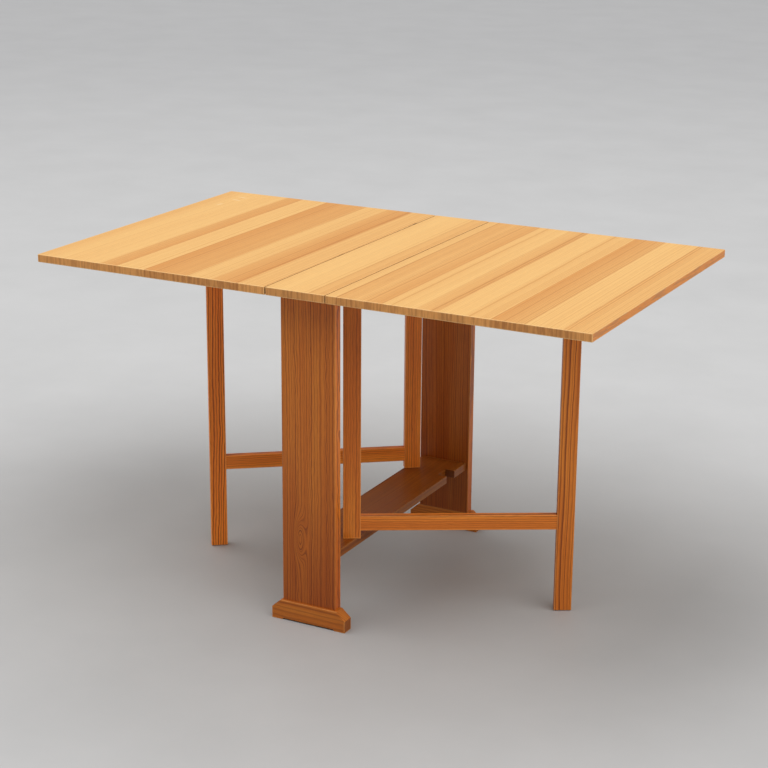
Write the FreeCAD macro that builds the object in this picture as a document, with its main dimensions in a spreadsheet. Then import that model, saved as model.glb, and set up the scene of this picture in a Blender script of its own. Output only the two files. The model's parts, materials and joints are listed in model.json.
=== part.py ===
import FreeCAD, Part
import Sketcher
import os
import re

# A gateleg table: a narrow trestle of two end panels on feet carries a centre board, and two
# wide leaves hang on butt hinges at its sides. Each leaf rests on a gate that swings out from
# the trestle. Millimetres. The origin is on the floor under the middle of the top: X runs along
# the table's length, Y from the front end panel to the back one, Z up. The table looks the same
# turned half way round about Z, apart from how far each gate stands open, so each piece of a
# pair is drawn once, at the front or on the right, and turned half way round for its twin.

doc = FreeCAD.newDocument("GatelegTable")

# ---------------------------------------------------------------- sizes

sizes = {
    # the top
    "tableLength": (1232, "over both raised leaves, along X"),
    "tableWidth": (748, "along Y"),
    "tableHeight": (720, "floor to the top face"),
    "topThickness": (16.5, "centre board and leaves"),
    "seamGap": (2, "open seam between centre board and leaf"),
    "topEase": (1.5, "rounding of the top's upper edges"),
    "underEase": (0.8, "chamfer on the top's lower edges"),
    # the trestle
    "panelWidth": (123.4, "end panel, along X"),
    "panelThickness": (22, "end panel, along Y"),
    "panelSetIn": (50.5, "end of the top to the end panel's outer face"),
    "boardOverhang": (4.3, "centre board past each side of the end panel"),
    "footLength": (171.3, "along X"),
    "footHeight": (42.8, "floor to the end panel"),
    "footLedge": (5, "foot past the end panel's outer face"),
    "footEndHeight": (24.7, "upright part of a foot's end"),
    "footEndSlope": (20.2, "length of the sloping cut at a foot's end, along X"),
    "footPad": (24, "length that touches the floor at each end of a foot"),
    "footRelief": (3, "height of the hollow under a foot"),
    "shelfHeight": (165.4, "floor to the shelf's top face"),
    "shelfThickness": (17.3, "the low shelf between the end panels"),
    "shelfSetIn": (6.2, "shelf's edge inside the end panel's edge"),
    "spineThickness": (20, "rail under the centre board, along X"),
    "spineHeight": (45, "rail under the centre board, along Z"),
    "woodEase": (1.2, "rounding of the long edges of panels, feet and shelf"),
    # the gates
    "pivotInset": (80.2, "end panel's inner face to a gate's pivot"),
    "gateSetIn": (3, "closed gate's outer face inside the shelf's edge"),
    "postWidth": (36.5, "gate's posts, along the gate"),
    "postThickness": (18, "gate's posts, across the gate"),
    "railHeight": (32, "gate's rails"),
    "railThickness": (16, "gate's rails, across the gate"),
    "lowerRailHeight": (182.5, "floor to the lower rail's underside"),
    "upperRailDrop": (12, "underside of the top to the upper rail's top"),
    "tenonThickness": (8, "tenons of the rails"),
    "tenonWall": (1.5, "wood between a tenon's end and the pivot pin"),
    "tenonShoulder": (4, "rail's edge to its tenon's edge"),
    "postEase": (1, "rounding of the gates' long edges"),
    "footCut": (2, "chamfer round the bottom of a gate's leg"),
    "rightGateAngle": (29.7, "right gate, turned from +X"),
    "leftGateAngle": (37, "left gate, turned from -X"),
    "leafRestGap": (0.3, "top of a gate's leg to the leaf that rests on it"),
    "postTopGap": (1, "top of a pivot post to the centre board"),
    "postFootGap": (0.3, "bottom of a pivot post to the shelf"),
    "notchGap": (2, "closed gate's leg to its notch in the shelf"),
    # pivots, dowels and screws
    "pivotRadius": (5, "pins that a gate turns on"),
    "pivotInPost": (25, "pivot pin in the post"),
    "pivotInShelf": (12, "pivot pin in the shelf"),
    "pivotInBoard": (10, "pivot pin in the centre board"),
    "pivotPlay": (0.08, "pivot pin to its hole in the shelf or board"),
    "gluePlay": (0.05, "glued or driven piece to its hole"),
    "endPlay": (0.5, "pin, dowel or screw to the bottom of its hole"),
    "dowelRadius": (4, "dowels of the trestle"),
    "dowelInPanel": (12, "dowel in an end panel's face"),
    "dowelInRail": (22, "dowel in a shelf's or rail's end, or down a panel's top"),
    "dowelInBoard": (9, "dowel in the centre board"),
    "dowelSpacing": (70, "between the two dowels of a joint, along X"),
    "spineDowelSpacing": (22, "between the two dowels at a spine rail's end, along Z"),
    "frameScrewRadius": (2.2, "screws of the feet and of the spine rail"),
    "frameScrewHead": (4.2, "head radius of those screws"),
    "frameScrewHeadHeight": (3, "head height of those screws"),
    "frameScrewHole": (5, "radius of the holes that the heads sink in"),
    "footScrewSeat": (18, "floor to the seat of a foot's screw head"),
    "footScrewSpacing": (80, "between a foot's two screws"),
    "footScrewInPanel": (30, "foot screw in the end panel"),
    "spineScrewSeat": (25, "spine rail's underside to the seat of its screw head"),
    "spineScrewSpacing": (180, "between the spine rail's screws"),
    "spineScrewInBoard": (10, "spine screw in the centre board"),
    # the butt hinges under each seam
    "hingeLength": (48, "along the pin"),
    "hingeEndGap": (7, "end hinge to the end panel's inner face"),
    "plateWidth": (30, "pin's centre to a plate's edge"),
    "plateThickness": (2, "hinge plates"),
    "knuckleRadius": (3, "outside of the rolled knuckles"),
    "knuckleGap": (0.4, "between knuckles, and knuckle to plate"),
    "hingePinRadius": (1.5, "hinge pin"),
    "hingePinPlay": (0.06, "hinge pin to the knuckles' bores"),
    "hingeScrewInset": (18, "pin's centre to the screws"),
    "hingeScrewSpacing": (28, "between a plate's two screws"),
    "hingeScrewRadius": (1.5, "hinge screw's shank"),
    "hingeScrewHead": (2.8, "hinge screw's head radius"),
    "hingeScrewHeadHeight": (1.5, "hinge screw's sunk head"),
    "hingeScrewInWood": (10, "hinge screw past the plate"),
    "screwPlay": (0.1, "screw to the plate's or foot's hole"),
    "slotWidth": (0.8, "screwdriver slot"),
    "slotDepth": (0.7, "screwdriver slot"),
}

# Lengths and heights that follow from the sizes, each written out once.
derived = {
    "underside": "tableHeight - topThickness",
    "boardHalf": "panelWidth / 2 + boardOverhang",
    "pinX": "boardHalf + seamGap / 2",
    "pinZ": "underside - knuckleRadius",
    "panelOuter": "tableWidth / 2 - panelSetIn",
    "panelInner": "panelOuter - panelThickness",
    "panelMiddle": "panelInner + panelThickness / 2",
    "shelfHalf": "panelWidth / 2 - shelfSetIn",
    "shelfUnderside": "shelfHeight - shelfThickness",
    "shelfMiddle": "shelfHeight - shelfThickness / 2",
    "spineBottom": "underside - spineHeight",
    "spineMiddle": "underside - spineHeight / 2",
    "pivotX": "shelfHalf - gateSetIn - postThickness / 2",
    "pivotY": "panelInner - pivotInset",
    "gateReach": "2 * pivotY",
    "postBottom": "shelfHeight + postFootGap",
    "postTop": "underside - postTopGap",
    "tenonLength": "postWidth / 2 - pivotRadius - tenonWall",
    "legTop": "underside - leafRestGap",
    "upperRailHeight": "underside - upperRailDrop - railHeight",
    "hingeY": "panelInner - hingeEndGap - hingeLength / 2",
    "plateBottom": "underside - plateThickness",
}

sheet = doc.addObject("Spreadsheet::Sheet", "Sizes")
for row, (name, (value, note)) in enumerate(sizes.items(), start=1):
    sheet.set("A%d" % row, name)
    sheet.set("B%d" % row, str(value))
    sheet.set("C%d" % row, note)
    sheet.setAlias("B%d" % row, name)
doc.recompute()


# ---------------------------------------------------------------- writing expressions

def spell(text):
    """Turn a formula in plain names into one that reads the sheet."""
    def swap(match):
        word = match.group(0)
        if word in derived:
            return "(" + spell(derived[word]) + ")"
        return "Sizes." + word
    return re.sub(r"[A-Za-z]\w*", swap, str(text))


def bind(thing, path, text):
    thing.setExpression(path, spell(text))


def worth(text):
    """The number that a formula comes to now."""
    return float(sheet.evalExpression(spell(text)))


def minus(text):
    return "-(%s)" % text


def place(piece, x="0", y="0", z="0", turn="0"):
    """Put a piece at a point, turned about Z, with all four bound to the sheet."""
    piece.Placement = FreeCAD.Placement(FreeCAD.Vector(), FreeCAD.Rotation(FreeCAD.Vector(0, 0, 1), 1))
    for axis, text in zip("xyz", (x, y, z)):
        bind(piece, "Placement.Base." + axis, text)
    bind(piece, "Placement.Rotation.Angle", turn)


# ---------------------------------------------------------------- bodies and sketches

nodes = []


def newBody(label):
    body = doc.addObject("PartDesign::Body", label)
    body.Label = label
    nodes.append(body)
    return body


def newSketch(body, plane, offset):
    """An empty sketch on one of the body's own planes, moved along that plane's normal."""
    sketch = body.newObject("Sketcher::SketchObject", body.Label + "_sketch")
    face = [item for item in body.Origin.OriginFeatures if item.Role == plane + "_Plane"][0]
    sketch.AttachmentSupport = [(face, "")]
    sketch.MapMode = "FlatFace"
    bind(sketch, "AttachmentOffset.Base.z", offset)
    return sketch


def pin(sketch, geometry, point, x, y):
    """Fix one point of a sketch at formulas measured from the sketch's origin."""
    for kind, text in (("DistanceX", x), ("DistanceY", y)):
        rule = Sketcher.Constraint(kind, -1, 1, geometry, point, worth(text))
        bind(sketch, "Constraints[%d]" % sketch.addConstraint(rule), text)


def drawOutline(sketch, points):
    """A closed outline of straight lines through the points, each a pair of formulas."""
    corners = [FreeCAD.Vector(worth(x), worth(y)) for x, y in points]
    lines = [Part.LineSegment(a, b) for a, b in zip(corners, corners[1:] + corners[:1])]
    sketch.addGeometry(lines)
    for number, (x, y) in enumerate(points):
        following = (number + 1) % len(points)
        sketch.addConstraint(Sketcher.Constraint("Coincident", number, 2, following, 1))
        pin(sketch, number, 1, x, y)


def drawRectangle(sketch, x0, x1, y0, y1):
    drawOutline(sketch, [(x0, y0), (x1, y0), (x1, y1), (x0, y1)])


def drawCircles(sketch, centres, radius):
    for x, y in centres:
        round_ = Part.Circle(FreeCAD.Vector(worth(x), worth(y)), FreeCAD.Vector(0, 0, 1), worth(radius))
        number = sketch.addGeometry(round_)
        pin(sketch, number, 3, x, y)
        rule = Sketcher.Constraint("Radius", number, worth(radius))
        bind(sketch, "Constraints[%d]" % sketch.addConstraint(rule), radius)


def pad(body, sketch, length):
    feature = body.newObject("PartDesign::Pad", body.Label + "_pad")
    feature.Profile = sketch
    bind(feature, "Length", length)
    doc.recompute()


def pocket(body, sketch, depth, alongNormal):
    """Cut a sketch into the body, and make sure that it takes something away."""
    before = body.Shape.Volume
    feature = body.newObject("PartDesign::Pocket", body.Label + "_pocket")
    feature.Profile = sketch
    feature.Reversed = alongNormal
    bind(feature, "Length", depth)
    doc.recompute()
    assert body.Shape.Volume < before, feature.Name + " cuts nothing"


def holes(body, plane, offset, centres, radius, depth, alongNormal):
    sketch = newSketch(body, plane, offset)
    drawCircles(sketch, centres, radius)
    pocket(body, sketch, depth, alongNormal)


def board(label, x0, x1, y0, y1, z0, z1):
    """A plain board drawn in plan and raised from z0 to z1."""
    body = newBody(label)
    sketch = newSketch(body, "XY", z0)
    drawRectangle(sketch, x0, x1, y0, y1)
    pad(body, sketch, "%s - (%s)" % (z1, z0))
    return body


# ---------------------------------------------------------------- edges

flat = 0.01  # an edge this close to a plane lies in it


def edgesInPlane(shape, axis, level):
    """Names of the edges that lie wholly in the plane where the axis has that level."""
    found = []
    for number, edge in enumerate(shape.Edges, start=1):
        low = getattr(edge.BoundBox, axis + "Min")
        high = getattr(edge.BoundBox, axis + "Max")
        if abs(low - level) < flat and abs(high - level) < flat:
            found.append("Edge%d" % number)
    return found


def edgesAlong(shape, axis):
    """Names of the straight edges that run along an axis for over half of the shape."""
    whole = getattr(shape.BoundBox, axis + "Length")
    found = []
    for number, edge in enumerate(shape.Edges, start=1):
        run = getattr(edge.BoundBox, axis + "Length")
        if abs(edge.Length - run) < flat and run > whole / 2:
            found.append("Edge%d" % number)
    return found


def soften(body, kind, names, size):
    """Round ("Fillet") or bevel ("Chamfer") the named edges of the body's last feature."""
    last = body.Tip
    feature = body.newObject("PartDesign::" + kind, body.Label + "_" + kind.lower())
    feature.Base = (last, names)
    bind(feature, "Radius" if kind == "Fillet" else "Size", size)
    doc.recompute()


# ---------------------------------------------------------------- round pieces and groups

def cylinder(name, radius, height, x="0", y="0", z="0"):
    piece = doc.addObject("Part::Cylinder", name)
    bind(piece, "Radius", radius)
    bind(piece, "Height", height)
    place(piece, x, y, z)
    return piece


def layFlat(piece, y):
    """Lay a cylinder along Y, from y towards the front, and wrap it so that a copy keeps the turn."""
    piece.setExpression("Placement.Rotation.Angle", None)
    piece.Placement = FreeCAD.Placement(FreeCAD.Vector(), FreeCAD.Rotation(FreeCAD.Vector(1, 0, 0), 90))
    bind(piece, "Placement.Base.y", y)
    wrapped = doc.addObject("Part::Compound", piece.Name + "_lying")
    wrapped.Links = [piece]
    return wrapped


def cone(name, lowRadius, highRadius, height, x="0", y="0", z="0"):
    piece = doc.addObject("Part::Cone", name)
    bind(piece, "Radius1", lowRadius)
    bind(piece, "Radius2", highRadius)
    bind(piece, "Height", height)
    place(piece, x, y, z)
    return piece


def box(name, x0, x1, y0, y1, z0, z1):
    piece = doc.addObject("Part::Box", name)
    for size, low, high in (("Length", x0, x1), ("Width", y0, y1), ("Height", z0, z1)):
        bind(piece, size, "%s - (%s)" % (high, low))
    place(piece, x0, y0, z0)
    return piece


def fuse(name, pieces):
    whole = doc.addObject("Part::MultiFuse", name)
    whole.Shapes = pieces
    return whole


def cut(name, piece, tool):
    whole = doc.addObject("Part::Cut", name)
    whole.Base = piece
    whole.Tool = tool
    return whole


def group(label, piece, places):
    """One node that holds a copy of the piece at each place, (x, y, z) or (x, y, z, turn)."""
    links = []
    for spot in places:
        link = doc.addObject("App::Link", label + "_copy")
        link.LinkedObject = piece
        place(link, *spot)
        links.append(link)
    whole = doc.addObject("Part::Compound", label)
    whole.Label = label
    whole.Links = links
    nodes.append(whole)


def screw(name, radius, length, headRadius, headTopRadius, headHeight):
    """A slotted screw that points up, with the outer face of its head at z = 0."""
    shank = cylinder(name + "_shank", radius, length)
    head = cone(name + "_head", headRadius, headTopRadius, headHeight)
    slot = box(name + "_slot", minus(headRadius), headRadius,
               "-slotWidth / 2", "slotWidth / 2", "0", "slotDepth")
    return cut(name, fuse(name + "_solid", [shank, head]), slot)


def bothTurned(points):
    """The points, and the same points turned half way round about Z."""
    return points + [(minus(x), minus(y)) for x, y in points]


halfTurn = "180"
ends = [("front", "0"), ("back", halfTurn)]
sides = [("right", "0"), ("left", halfTurn)]

# ---------------------------------------------------------------- where the fasteners are

hingeRows = ["-hingeY", "0", "hingeY"]
hingeScrewRows = ["-hingeScrewSpacing / 2", "hingeScrewSpacing / 2"]
hingeScrewYs = ["%s + %s" % (row, near) for row in hingeRows for near in hingeScrewRows]
boardHingeScrews = [("pinX - hingeScrewInset", y) for y in hingeScrewYs]
leafHingeScrews = [("pinX + hingeScrewInset", y) for y in hingeScrewYs]
dowelPair = ["-dowelSpacing / 2", "dowelSpacing / 2"]
footScrewPair = ["-footScrewSpacing / 2", "footScrewSpacing / 2"]
spineDowelPair = ["spineMiddle - spineDowelSpacing / 2", "spineMiddle + spineDowelSpacing / 2"]
spineScrewRows = ["-spineScrewSpacing", "0", "spineScrewSpacing"]
gatePivots = bothTurned([("pivotX", "-pivotY")])


# ---------------------------------------------------------------- the top

def easeTop(body):
    """Round a top board's upper edges and corners, and bevel its lower edges."""
    shape = body.Shape
    upper = edgesInPlane(shape, "Z", worth("tableHeight")) + edgesAlong(shape, "Z")
    soften(body, "Fillet", upper, "topEase")
    soften(body, "Chamfer", edgesInPlane(body.Shape, "Z", worth("underside")), "underEase")


def hingeScrewHoles(body, centres):
    holes(body, "XY", "underside", centres, "hingeScrewRadius + gluePlay",
          "hingeScrewInWood + endPlay", True)


def makeCentreBoard():
    """The fixed middle of the top, on the end panels, with blind holes in its underside."""
    body = board("centre_board", "-boardHalf", "boardHalf", "-tableWidth / 2", "tableWidth / 2",
                 "underside", "tableHeight")
    easeTop(body)
    hingeScrewHoles(body, bothTurned(boardHingeScrews))
    holes(body, "XY", "underside", gatePivots, "pivotRadius + pivotPlay",
          "pivotInBoard + endPlay", True)
    panelDowels = [(x, y) for x in dowelPair for y in ("-panelMiddle", "panelMiddle")]
    holes(body, "XY", "underside", panelDowels, "dowelRadius + gluePlay",
          "dowelInBoard + endPlay", True)
    holes(body, "XY", "underside", [("0", y) for y in spineScrewRows],
          "frameScrewRadius + gluePlay", "spineScrewInBoard + endPlay", True)


def makeLeaf(side, turn):
    body = board("leaf_" + side, "boardHalf + seamGap", "tableLength / 2",
                 "-tableWidth / 2", "tableWidth / 2", "underside", "tableHeight")
    easeTop(body)
    hingeScrewHoles(body, leafHingeScrews)
    place(body, turn=turn)


# ---------------------------------------------------------------- the trestle

def makeEndPanel(end, turn):
    """An upright board from the foot to the centre board, holed for its dowels and screws."""
    body = newBody("end_panel_" + end)
    sketch = newSketch(body, "XZ", "panelInner")
    drawRectangle(sketch, "-panelWidth / 2", "panelWidth / 2", "footHeight", "underside")
    pad(body, sketch, "panelThickness")
    soften(body, "Fillet", edgesAlong(body.Shape, "Z"), "woodEase")
    holes(body, "XY", "footHeight", [(x, "-panelMiddle") for x in footScrewPair],
          "frameScrewRadius + gluePlay", "footScrewInPanel + endPlay", True)
    holes(body, "XY", "underside", [(x, "-panelMiddle") for x in dowelPair],
          "dowelRadius + gluePlay", "dowelInRail + endPlay", False)
    sideDowels = [(x, "shelfMiddle") for x in dowelPair] + [("0", z) for z in spineDowelPair]
    holes(body, "XZ", "panelInner", sideDowels, "dowelRadius + gluePlay",
          "dowelInPanel + endPlay", True)
    place(body, turn=turn)


def makeFoot(end, turn):
    """A cross foot with sloping ends and a hollow underside, drawn in front view."""
    body = newBody("foot_" + end)
    half = "footLength / 2"
    right = [(half + " - footPad - footRelief", "footRelief"), (half + " - footPad", "0"), (half, "0"),
             (half, "footEndHeight"), (half + " - footEndSlope", "footHeight")]
    left = [(minus(x), z) for x, z in reversed(right)]
    sketch = newSketch(body, "XZ", "panelInner")
    drawOutline(sketch, right + left)
    pad(body, sketch, "panelThickness + footLedge")
    soften(body, "Fillet", edgesInPlane(body.Shape, "Z", worth("footHeight")), "woodEase")
    centres = [(x, "-panelMiddle") for x in footScrewPair]
    holes(body, "XY", "0", centres, "frameScrewHole", "footScrewSeat", True)
    holes(body, "XY", "0", centres, "frameScrewRadius + screwPlay", "footHeight", True)
    place(body, turn=turn)


def makeShelf():
    """The low shelf between the end panels. Each long edge has a notch that takes the closed
    gate's leg, and each gate's lower pivot pin stands in a blind hole."""
    notchIn = "pivotX - postThickness / 2 - notchGap"
    notchLow = "gateReach - pivotY - postWidth / 2 - notchGap"
    notchHigh = "gateReach - pivotY + postWidth / 2 + notchGap"
    rightEdge = [("shelfHalf", "-panelInner"), ("shelfHalf", notchLow), (notchIn, notchLow),
                 (notchIn, notchHigh), ("shelfHalf", notchHigh), ("shelfHalf", "panelInner")]
    body = newBody("shelf")
    sketch = newSketch(body, "XY", "shelfUnderside")
    drawOutline(sketch, bothTurned(rightEdge))
    pad(body, sketch, "shelfThickness")
    for rim in ("shelfUnderside", "shelfHeight"):
        names = [name for name in edgesInPlane(body.Shape, "Z", worth(rim))
                 if body.Shape.getElement(name).BoundBox.YLength > flat]
        soften(body, "Fillet", names, "woodEase")
    holes(body, "XY", "shelfHeight", gatePivots, "pivotRadius + pivotPlay",
          "pivotInShelf + endPlay", False)
    for offset, inward in (("panelInner", False), ("-panelInner", True)):
        holes(body, "XZ", offset, [(x, "shelfMiddle") for x in dowelPair],
              "dowelRadius + gluePlay", "dowelInRail + endPlay", inward)


def makeSpineRail():
    """The rail on edge under the centre board, dowelled to the end panels and screwed up."""
    body = board("spine_rail", "-spineThickness / 2", "spineThickness / 2",
                 "-panelInner", "panelInner", "spineBottom", "underside")
    soften(body, "Fillet", edgesInPlane(body.Shape, "Z", worth("spineBottom")), "woodEase")
    screws = [("0", y) for y in spineScrewRows]
    holes(body, "XY", "spineBottom", screws, "frameScrewHole", "spineScrewSeat", True)
    holes(body, "XY", "spineBottom", screws, "frameScrewRadius + screwPlay", "spineHeight", True)
    for offset, inward in (("panelInner", False), ("-panelInner", True)):
        holes(body, "XZ", offset, [("0", z) for z in spineDowelPair],
              "dowelRadius + gluePlay", "dowelInRail + endPlay", inward)


# ---------------------------------------------------------------- the gates

def placeOnPivot(piece, side):
    """Stand a piece drawn along +X from the origin on its gate's pivot, at the open angle."""
    if side == "right":
        place(piece, "pivotX", "-pivotY", "0", "rightGateAngle")
    else:
        place(piece, "-pivotX", "pivotY", "0", halfTurn + " + leftGateAngle")


def makePost(label, middle, bottom, top, mortiseSide, footed):
    """An upright of a gate, with a blind mortise for each rail in the face that it meets. One
    that stands on the floor is bevelled round its bottom."""
    body = board(label, middle + " - postWidth / 2", middle + " + postWidth / 2",
                 "-postThickness / 2", "postThickness / 2", bottom, top)
    if footed:
        soften(body, "Chamfer", edgesInPlane(body.Shape, "Z", worth(bottom)), "footCut")
    soften(body, "Fillet", edgesAlong(body.Shape, "Z"), "postEase")
    face = "%s + %d * postWidth / 2" % (middle, mortiseSide)
    back = "%s - %d * (tenonLength + endPlay)" % (face, mortiseSide)
    for railBottom in ("lowerRailHeight", "upperRailHeight"):
        sketch = newSketch(body, "XY", railBottom + " + tenonShoulder - gluePlay")
        edges = (face, back) if mortiseSide < 0 else (back, face)
        drawRectangle(sketch, *edges, "-tenonThickness / 2 - gluePlay", "tenonThickness / 2 + gluePlay")
        pocket(body, sketch, "railHeight - 2 * tenonShoulder + 2 * gluePlay", True)
    return body


def makeGate(side):
    """One gate: a pivot post, an outer leg, two tenoned rails and the pins that it turns on."""
    post = makePost("gate_post_" + side, "0", "postBottom", "postTop", 1, False)
    for level, upward in (("postBottom", True), ("postTop", False)):
        holes(post, "XY", level, [("0", "0")], "pivotRadius + gluePlay", "pivotInPost + endPlay", upward)
    leg = makePost("gate_leg_" + side, "gateReach", "0", "legTop", -1, True)
    pieces = [post, leg]
    for level in ("lower", "upper"):
        pieces.append(makeRail("gate_%s_rail_%s" % (level, side), level + "RailHeight"))
    for piece in pieces:
        placeOnPivot(piece, side)


def makeRail(label, bottom):
    """A gate's rail, with a thinner tenon that runs past it at both ends."""
    near = "postWidth / 2"
    far = "gateReach - postWidth / 2"
    body = board(label, near, far, "-railThickness / 2", "railThickness / 2",
                 bottom, bottom + " + railHeight")
    soften(body, "Fillet", edgesAlong(body.Shape, "X"), "postEase")
    sketch = newSketch(body, "XY", bottom + " + tenonShoulder")
    drawRectangle(sketch, near + " - tenonLength", far + " + tenonLength",
                  "-tenonThickness / 2", "tenonThickness / 2")
    pad(body, sketch, "railHeight - 2 * tenonShoulder")
    return body


def makePivots(side, x, y):
    """A gate's two pivot pins: one up from the shelf, one down from the centre board."""
    lower = cylinder("pivot_lower_" + side, "pivotRadius", "pivotInShelf + postFootGap + pivotInPost")
    upper = cylinder("pivot_upper_" + side, "pivotRadius", "pivotInBoard + postTopGap + pivotInPost")
    place(lower, x, y, "shelfHeight - pivotInShelf")
    place(upper, x, y, "postTop - pivotInPost")
    pins = doc.addObject("Part::Compound", "gate_pivots_" + side)
    pins.Label = "gate_pivots_" + side
    pins.Links = [lower, upper]
    nodes.append(pins)


# ---------------------------------------------------------------- dowels and screws

def makeDowels():
    """Round dowels: across from the shelf and the spine rail into the end panels, and up from
    the end panels into the centre board."""
    lying = layFlat(cylinder("lying_dowel", "dowelRadius", "dowelInPanel + dowelInRail"), "0")
    back = "panelInner + dowelInPanel"
    front = "-panelInner + dowelInRail"
    group("shelf_dowels", lying, [(x, y, "shelfMiddle") for x in dowelPair for y in (front, back)])
    group("spine_dowels", lying, [("0", y, z) for z in spineDowelPair for y in (front, back)])
    upright = cylinder("upright_dowel", "dowelRadius", "dowelInRail + dowelInBoard")
    group("top_dowels", upright, [(x, y, "underside - dowelInRail") for x in dowelPair
                                  for y in ("-panelMiddle", "panelMiddle")])


def makeFrameScrews():
    """Round-headed screws, up through the feet and up through the spine rail."""
    footScrew = screw("foot_screw", "frameScrewRadius",
                      "footHeight - footScrewSeat + frameScrewHeadHeight + footScrewInPanel",
                      "frameScrewHead", "frameScrewHead", "frameScrewHeadHeight")
    low = "footScrewSeat - frameScrewHeadHeight"
    group("foot_screws", footScrew, [(x, y, low) for x in footScrewPair
                                     for y in ("-panelMiddle", "panelMiddle")])
    spineScrew = screw("spine_screw", "frameScrewRadius",
                       "spineHeight - spineScrewSeat + frameScrewHeadHeight + spineScrewInBoard",
                       "frameScrewHead", "frameScrewHead", "frameScrewHeadHeight")
    low = "spineBottom + spineScrewSeat - frameScrewHeadHeight"
    group("spine_screws", spineScrew, [("0", y, low) for y in spineScrewRows])


# ---------------------------------------------------------------- the butt hinges

def makeHingeHalf(name, direction, knuckles):
    """One half of a hinge about a pin along Y at the origin: a plate to one side, and the
    knuckles, each a (start, end) pair along Y, that a strip of the plate rolls into."""
    inner, outer = "knuckleRadius + knuckleGap", "plateWidth"
    low, high = "knuckleRadius - plateThickness", "knuckleRadius"

    def across(near, far):
        return (near, far) if direction > 0 else (minus(far), minus(near))

    pieces = [box(name + "_plate", *across(inner, outer), "-hingeLength / 2", "hingeLength / 2", low, high)]
    for start, end in knuckles:
        pieces.append(box(name + "_strip", *across("0", inner), start, end, low, high))
        roll = cylinder(name + "_roll", "knuckleRadius", "%s - (%s)" % (end, start))
        pieces.append(layFlat(roll, end))
    bore = cylinder(name + "_bore", "hingePinRadius + hingePinPlay", "hingeLength")
    tools = [layFlat(bore, "hingeLength / 2")]
    for y in hingeScrewRows:
        x = "%d * hingeScrewInset" % direction
        tools.append(cylinder(name + "_hole", "hingeScrewRadius + screwPlay", "plateThickness", x, y, low))
        tools.append(cone(name + "_sink", "hingeScrewHead + screwPlay", "hingeScrewRadius + screwPlay",
                          "hingeScrewHeadHeight", x, y, low))
    return cut(name, fuse(name + "_solid", pieces), fuse(name + "_tools", tools))


def makeHinges():
    """Three hinges under each seam: plates, pins and countersunk screws."""
    halfMiddle = "hingeLength / 6"
    outerKnuckles = [("-hingeLength / 2", minus(halfMiddle + " + knuckleGap / 2")),
                     (halfMiddle + " + knuckleGap / 2", "hingeLength / 2")]
    middleKnuckle = [(minus(halfMiddle + " - knuckleGap / 2"), halfMiddle + " - knuckleGap / 2")]
    fixedHalf = makeHingeHalf("hinge_fixed_half", -1, outerKnuckles)
    movingHalf = makeHingeHalf("hinge_moving_half", 1, middleKnuckle)
    hingePin = layFlat(cylinder("hinge_pin", "hingePinRadius", "hingeLength"), "hingeLength / 2")
    hingeScrew = screw("hinge_screw", "hingeScrewRadius", "plateThickness + hingeScrewInWood",
                       "hingeScrewHead", "hingeScrewRadius", "hingeScrewHeadHeight")
    for side, turn in sides:
        sign = "" if turn == "0" else "-"
        spots = [(sign + "(pinX)", row, "pinZ", turn) for row in hingeRows]
        group("hinge_plates_board_" + side, fixedHalf, spots)
        group("hinge_plates_leaf_" + side, movingHalf, spots)
        group("hinge_pins_" + side, hingePin, spots)
        for carrier, screws in (("board", boardHingeScrews), ("leaf", leafHingeScrews)):
            spots = [("%s(%s)" % (sign, x), y, "plateBottom", turn) for x, y in screws]
            group("hinge_screws_%s_%s" % (carrier, side), hingeScrew, spots)


# ---------------------------------------------------------------- build

makeCentreBoard()
for side, turn in sides:
    makeLeaf(side, turn)
for end, turn in ends:
    makeEndPanel(end, turn)
    makeFoot(end, turn)
makeShelf()
makeSpineRail()
for side, _ in sides:
    makeGate(side)
for (side, _), (x, y) in zip(sides, gatePivots):
    makePivots(side, x, y)
makeDowels()
makeFrameScrews()
makeHinges()
doc.recompute()

for item in doc.Objects:
    assert not {"Invalid", "Error"} & set(item.State), item.Label + " failed"
for node in nodes:
    assert not node.Shape.isNull() and node.Shape.isValid(), node.Label + " is not a valid shape"

os.makedirs("parts", exist_ok=True)
for node in nodes:
    node.Shape.exportStep("parts/%s.step" % node.Label)
    print("%-28s %2d solid(s) %10.1f mm3" % (node.Label, len(node.Shape.Solids), node.Shape.Volume))
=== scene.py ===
import json
import math
import bpy
import numpy as np
from mathutils import Euler, Matrix, Vector

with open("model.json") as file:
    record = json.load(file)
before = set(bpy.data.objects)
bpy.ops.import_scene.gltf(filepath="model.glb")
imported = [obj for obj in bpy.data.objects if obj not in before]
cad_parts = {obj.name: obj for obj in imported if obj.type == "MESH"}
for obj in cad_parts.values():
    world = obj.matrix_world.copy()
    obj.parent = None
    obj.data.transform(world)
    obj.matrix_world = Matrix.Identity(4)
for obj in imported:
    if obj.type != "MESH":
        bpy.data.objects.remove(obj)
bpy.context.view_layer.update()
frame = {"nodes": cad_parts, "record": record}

# A gateleg table of pine, finished for a studio picture. The shapes, sizes and places all come
# from the frame: this script gives every board, peg, screw and hinge its surface. Lengths are in
# metres, or in millimetres where a note says so.

millimetre = 0.001


# small tools for writing node trees

def feed(tree, socket, value):
    # a link if the value is another node's socket, else the socket's own number
    if isinstance(value, bpy.types.NodeSocket):
        tree.links.new(value, socket)
    else:
        socket.default_value = value


def makeNode(tree, kind, settings, inputs):
    # a node with its settings set and its inputs fed
    node = tree.nodes.new(kind)
    for name, value in settings.items():
        setattr(node, name, value)
    for name, value in inputs.items():
        feed(tree, node.inputs[name], value)
    return node


def calc(tree, operation, *values):
    # one sum on plain numbers
    node = makeNode(tree, "ShaderNodeMath", {"operation": operation}, dict(enumerate(values)))
    return node.outputs[0]


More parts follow.
